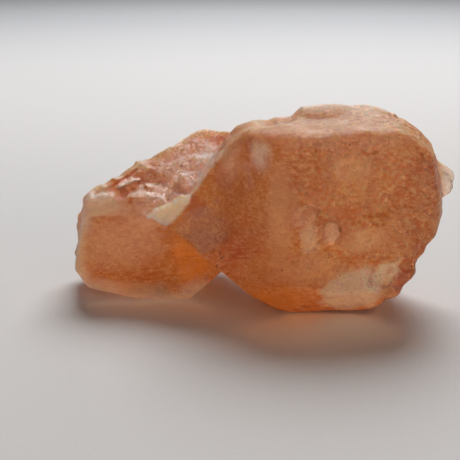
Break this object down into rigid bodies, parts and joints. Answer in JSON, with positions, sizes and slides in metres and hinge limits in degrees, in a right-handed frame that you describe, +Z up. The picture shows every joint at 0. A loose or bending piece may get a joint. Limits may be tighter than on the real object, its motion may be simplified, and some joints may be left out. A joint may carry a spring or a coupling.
{
  "type": "lithium quartz cluster",
  "caption": "Raw translucent orange-brown quartz: a big crystal point lying in front of a smaller stepped crystal, grown together, for display.",
  "frame": {"origin": "middle of the specimen's box at the height of the surface it rests on", "axes": "+X along the specimen's length, from the small crystal to the flake on the big crystal's right edge; +Y to the back; +Z up"},
  "size_m": [0.0746, 0.0402, 0.0378],
  "materials": {
    "quartz": "translucent orange-brown quartz with cream and rusty patches, satin crystal faces, rough sparkling growth surfaces and a frosted chip"
  },
  "bodies": {
    "root": {"lithium_quartz": "quartz"}
  },
  "joints": []
}
